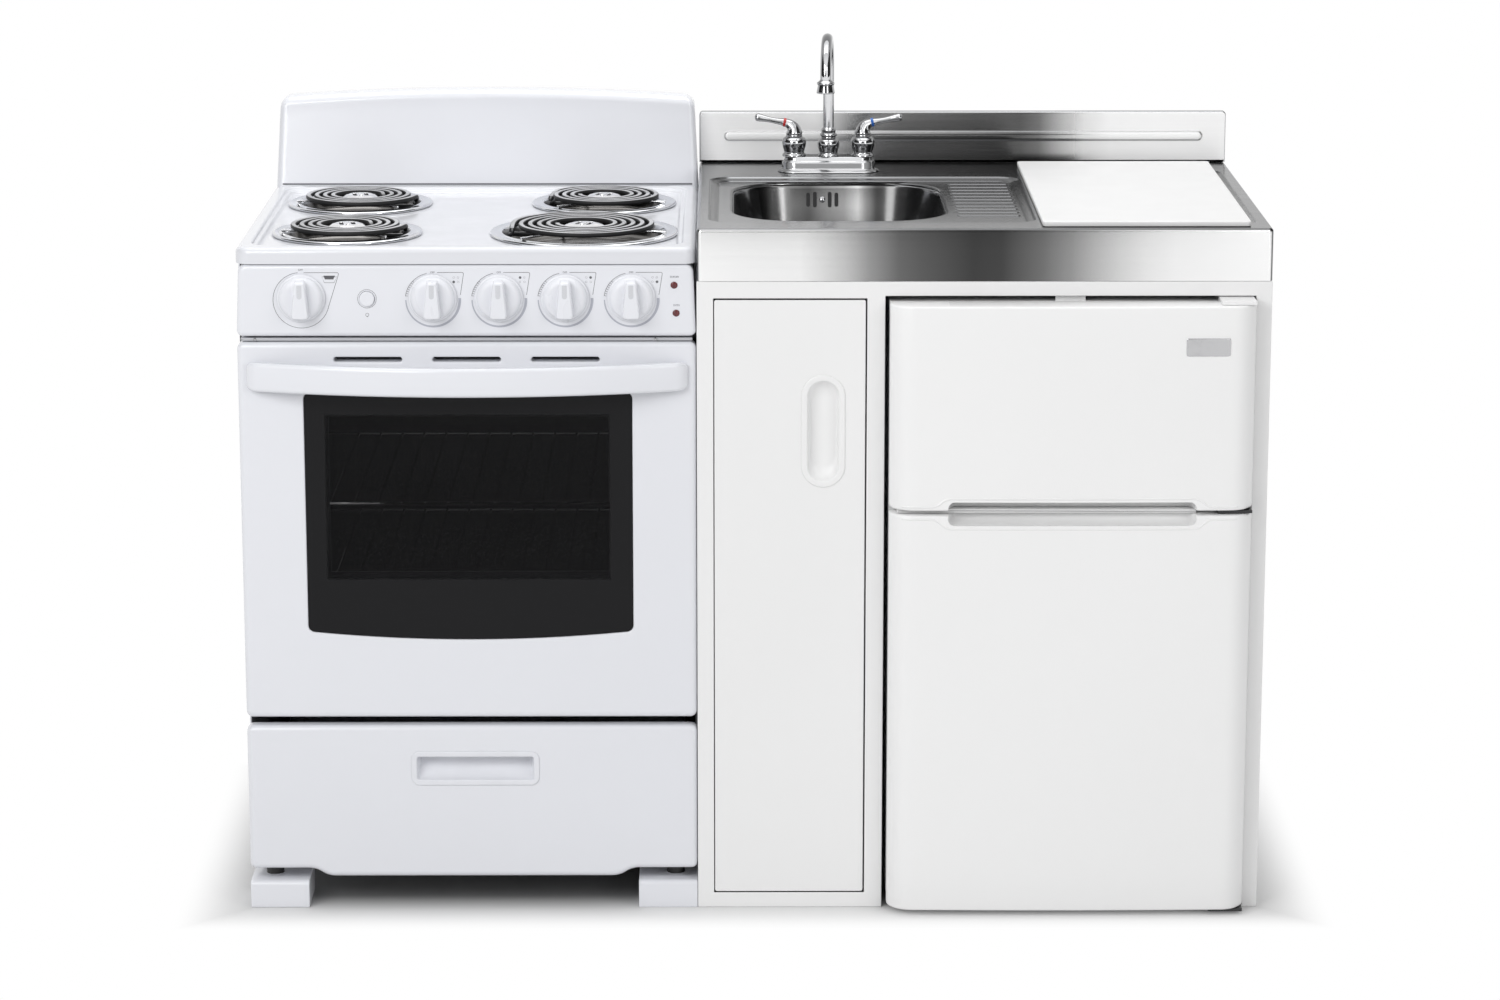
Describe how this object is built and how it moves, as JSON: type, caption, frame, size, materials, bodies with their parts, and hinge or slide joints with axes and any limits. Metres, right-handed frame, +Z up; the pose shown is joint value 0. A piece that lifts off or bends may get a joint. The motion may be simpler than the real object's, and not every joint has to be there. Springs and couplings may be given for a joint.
{
  "type": "kitchenette unit with sink and hob",
  "caption": "Kitchenette with an electric coil range at left, and at right a stainless worktop with sink and drainer over a narrow cabinet and a two-door fridge-freezer.",
  "frame": {"origin": "on the floor, under the middle of the whole unit's box", "axes": "+X to the right along the front, +Y to the wall behind, +Z up"},
  "size_m": [1.3716, 0.668, 1.139],
  "materials": {
    "range_enamel": "gloss white enamel",
    "burner_chrome": "bright plated",
    "heating_tube": "dark oxidised sheath",
    "knob_plastic": "gloss white moulding",
    "indicator_red": "clear dark red",
    "oven_enamel": "speckled dark enamel",
    "rack_wire": "plated wire",
    "oven_glass": "dark tinted",
    "cabinet_board": "white painted board",
    "stainless": "brushed stainless",
    "faucet_chrome": "polished",
    "waste_pipe": "plain white pipe",
    "board_plastic": "matt white",
    "fridge_plastic": "white coated"
  },
  "bodies": {
    "unit_body": {"range_shell": "range_enamel", "range_base_pan": "range_enamel", "front_left_foot": "range_enamel", "front_right_foot": "range_enamel", "rear_left_foot": "range_enamel", "rear_right_foot": "range_enamel", "backguard": "range_enamel", "control_panel": "range_enamel", "burner_on_lamp": "indicator_red", "oven_on_lamp": "indicator_red", "oven_liner": "oven_enamel", "oven_rack_lower": "rack_wire", "oven_rack_upper": "rack_wire", "bake_element": "heating_tube", "cabinet_left_side": "cabinet_board", "cabinet_divider": "cabinet_board", "cabinet_right_side": "cabinet_board", "cabinet_back": "cabinet_board", "cabinet_floor": "cabinet_board", "face_frame": "cabinet_board", "worktop": "stainless", "splashback": "stainless", "sink_bowl": "stainless", "waste_trap": "waste_pipe", "faucet_base": "faucet_chrome", "fridge_cabinet": "fridge_plastic"},
    "cooktop_lid": {"cooktop": "range_enamel"},
    "front_left_bowl": {"front_left_drip_bowl": "burner_chrome"},
    "back_left_bowl": {"back_left_drip_bowl": "burner_chrome"},
    "front_right_bowl": {"front_right_drip_bowl": "burner_chrome"},
    "back_right_bowl": {"back_right_drip_bowl": "burner_chrome"},
    "front_left_element": {"front_left_coil": "heating_tube", "front_left_coil_support": "burner_chrome"},
    "back_left_element": {"back_left_coil": "heating_tube", "back_left_coil_support": "burner_chrome"},
    "front_right_element": {"front_right_coil": "heating_tube", "front_right_coil_support": "burner_chrome"},
    "back_right_element": {"back_right_coil": "heating_tube", "back_right_coil_support": "burner_chrome"},
    "oven_dial": {"oven_knob": "knob_plastic"},
    "burner_dial_1": {"burner_knob_1": "knob_plastic"},
    "burner_dial_2": {"burner_knob_2": "knob_plastic"},
    "burner_dial_3": {"burner_knob_3": "knob_plastic"},
    "burner_dial_4": {"burner_knob_4": "knob_plastic"},
    "light_switch": {"oven_light_button": "knob_plastic"},
    "oven_door": {"oven_door_panel": "range_enamel", "oven_door_glass": "oven_glass", "oven_door_liner": "oven_enamel", "oven_door_handle": "knob_plastic"},
    "drawer": {"storage_drawer": "range_enamel", "drawer_pull": "knob_plastic"},
    "sink_cabinet_door": {"sink_door": "cabinet_board", "sink_door_pull": "knob_plastic"},
    "swivel_spout": {"spout": "faucet_chrome"},
    "hot_handle": {"hot_lever": "faucet_chrome"},
    "cold_handle": {"cold_lever": "faucet_chrome"},
    "waste_basket": {"strainer": "faucet_chrome"},
    "board": {"cutting_board": "board_plastic"},
    "upper_cold_door": {"freezer_door": "fridge_plastic"},
    "lower_cold_door": {"fridge_door": "fridge_plastic"}
  },
  "joints": [
    {"name": "cooktop_tilt", "type": "hinge", "parent": "unit_body", "child": "cooktop_lid", "pos_m": [-0.3813, 0.269, 0.911], "axis": [-1, 0, 0], "range_deg": [0, 20]},
    {"name": "front_left_bowl_lift", "type": "slide", "parent": "cooktop_lid", "child": "front_left_bowl", "axis": [0, 0, 1], "range_m": [0, 0.03]},
    {"name": "back_left_bowl_lift", "type": "slide", "parent": "cooktop_lid", "child": "back_left_bowl", "axis": [0, 0, 1], "range_m": [0, 0.03]},
    {"name": "front_right_bowl_lift", "type": "slide", "parent": "cooktop_lid", "child": "front_right_bowl", "axis": [0, 0, 1], "range_m": [0, 0.03]},
    {"name": "back_right_bowl_lift", "type": "slide", "parent": "cooktop_lid", "child": "back_right_bowl", "axis": [0, 0, 1], "range_m": [0, 0.03]},
    {"name": "front_left_element_lift", "type": "slide", "parent": "front_left_bowl", "child": "front_left_element", "axis": [0, 0, 1], "range_m": [0, 0.04]},
    {"name": "back_left_element_lift", "type": "slide", "parent": "back_left_bowl", "child": "back_left_element", "axis": [0, 0, 1], "range_m": [0, 0.04]},
    {"name": "front_right_element_lift", "type": "slide", "parent": "front_right_bowl", "child": "front_right_element", "axis": [0, 0, 1], "range_m": [0, 0.04]},
    {"name": "back_right_element_lift", "type": "slide", "parent": "back_right_bowl", "child": "back_right_element", "axis": [0, 0, 1], "range_m": [0, 0.04]},
    {"name": "oven_dial_turn", "type": "hinge", "parent": "unit_body", "child": "oven_dial", "pos_m": [-0.5988, -0.276, 0.844], "axis": [0, 1, 0], "range_deg": [0, 300]},
    {"name": "burner_dial_1_turn", "type": "hinge", "parent": "unit_body", "child": "burner_dial_1", "pos_m": [-0.4248, -0.276, 0.844], "axis": [0, 1, 0], "continuous": true},
    {"name": "burner_dial_2_turn", "type": "hinge", "parent": "unit_body", "child": "burner_dial_2", "pos_m": [-0.3373, -0.276, 0.844], "axis": [0, 1, 0], "continuous": true},
    {"name": "burner_dial_3_turn", "type": "hinge", "parent": "unit_body", "child": "burner_dial_3", "pos_m": [-0.2498, -0.276, 0.844], "axis": [0, 1, 0], "continuous": true},
    {"name": "burner_dial_4_turn", "type": "hinge", "parent": "unit_body", "child": "burner_dial_4", "pos_m": [-0.1623, -0.276, 0.844], "axis": [0, 1, 0], "continuous": true},
    {"name": "light_switch_press", "type": "slide", "parent": "unit_body", "child": "light_switch", "axis": [0, 1, 0], "range_m": [0, 0.003], "stiffness_N_per_m": 150, "springref_m": -0.002},
    {"name": "oven_door_hinge", "type": "hinge", "parent": "unit_body", "child": "oven_door", "pos_m": [-0.3813, -0.258, 0.283], "axis": [1, 0, 0], "range_deg": [0, 90]},
    {"name": "drawer_slide", "type": "slide", "parent": "unit_body", "child": "drawer", "axis": [0, -1, 0], "range_m": [0, 0.35]},
    {"name": "sink_door_hinge", "type": "hinge", "parent": "unit_body", "child": "sink_cabinet_door", "pos_m": [-0.05405, -0.276, 0.432], "axis": [0, 0, -1], "range_deg": [0, 95]},
    {"name": "spout_swivel", "type": "hinge", "parent": "unit_body", "child": "swivel_spout", "pos_m": [0.1088, 0.239, 0.99], "axis": [0, 0, 1], "range_deg": [-90, 90]},
    {"name": "hot_lever_turn", "type": "hinge", "parent": "unit_body", "child": "hot_handle", "pos_m": [0.0598, 0.239, 0.99], "axis": [0, 0, 1], "range_deg": [0, 90]},
    {"name": "cold_lever_turn", "type": "hinge", "parent": "unit_body", "child": "cold_handle", "pos_m": [0.1578, 0.239, 0.99], "axis": [0, 0, 1], "range_deg": [-90, 0]},
    {"name": "strainer_lift", "type": "slide", "parent": "unit_body", "child": "waste_basket", "axis": [0, 0, 1], "range_m": [0, 0.06]},
    {"name": "cutting_board_lift", "type": "slide", "parent": "unit_body", "child": "board", "axis": [0, 0, 1], "range_m": [0, 0.1]},
    {"name": "freezer_door_hinge", "type": "hinge", "parent": "unit_body", "child": "upper_cold_door", "pos_m": [0.6438, -0.301, 0.7], "axis": [0, 0, 1], "range_deg": [0, 105]},
    {"name": "fridge_door_hinge", "type": "hinge", "parent": "unit_body", "child": "lower_cold_door", "pos_m": [0.6438, -0.301, 0.284], "axis": [0, 0, 1], "range_deg": [0, 105]}
  ]
}
